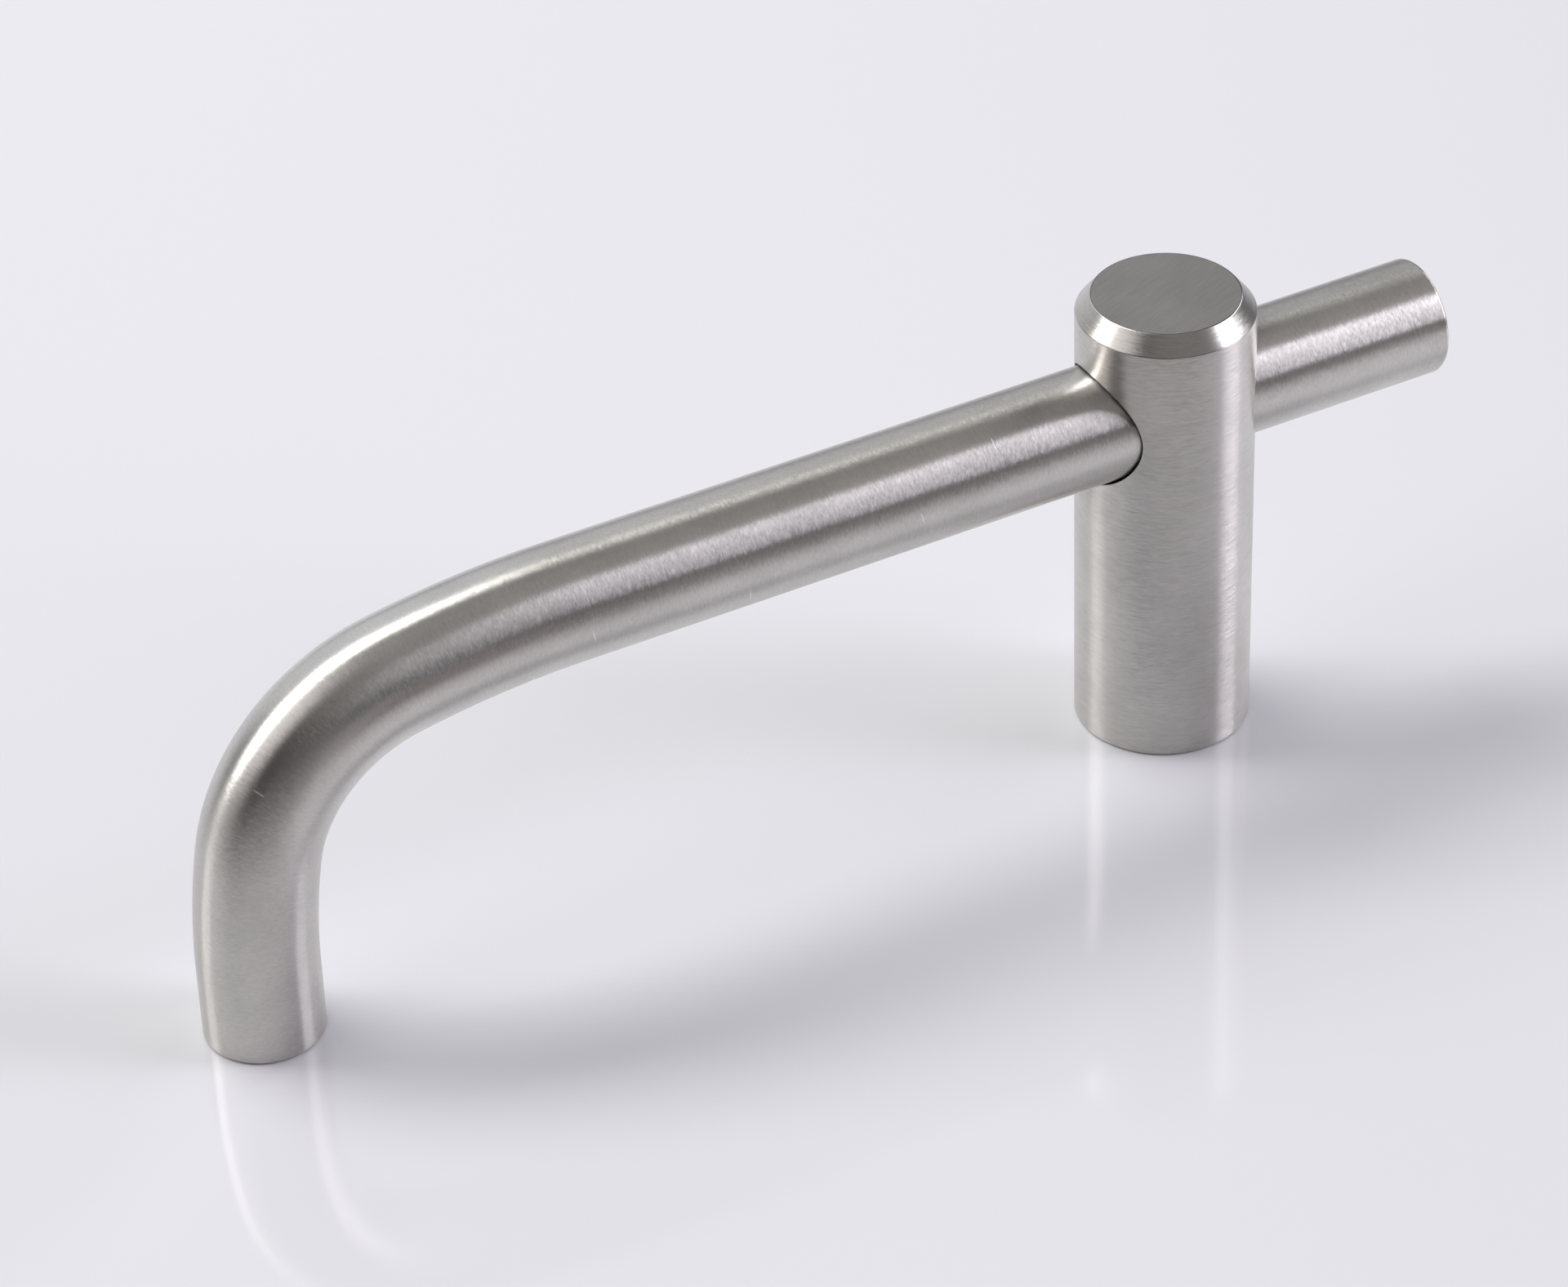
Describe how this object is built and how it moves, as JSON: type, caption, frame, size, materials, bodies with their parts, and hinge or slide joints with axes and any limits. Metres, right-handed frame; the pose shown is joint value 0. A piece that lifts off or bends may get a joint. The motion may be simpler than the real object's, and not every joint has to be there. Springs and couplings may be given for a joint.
{
  "type": "t-bar cabinet pull",
  "caption": "Brushed stainless cabinet pull: a round bar bent down to a foot at one end and carried through a thicker turned post near the other, screwed on from behind.",
  "frame": {"origin": "midway between the two fixing holes, on the face that the pull is screwed to", "axes": "+X along the bar from the bent foot to the post, +Z away from the mounting face"},
  "size_m": [0.1376, 0.018, 0.05],
  "materials": {
    "brushed_bar": "brushed round the bar, satin stainless steel",
    "turned_post": "brushed round the post, satin stainless steel, turned chamfer, straight-grained top",
    "screw_steel": "plain stainless steel set screw"
  },
  "bodies": {
    "root": {"bent_bar": "brushed_bar", "post": "turned_post", "set_screw": "screw_steel"}
  },
  "joints": []
}
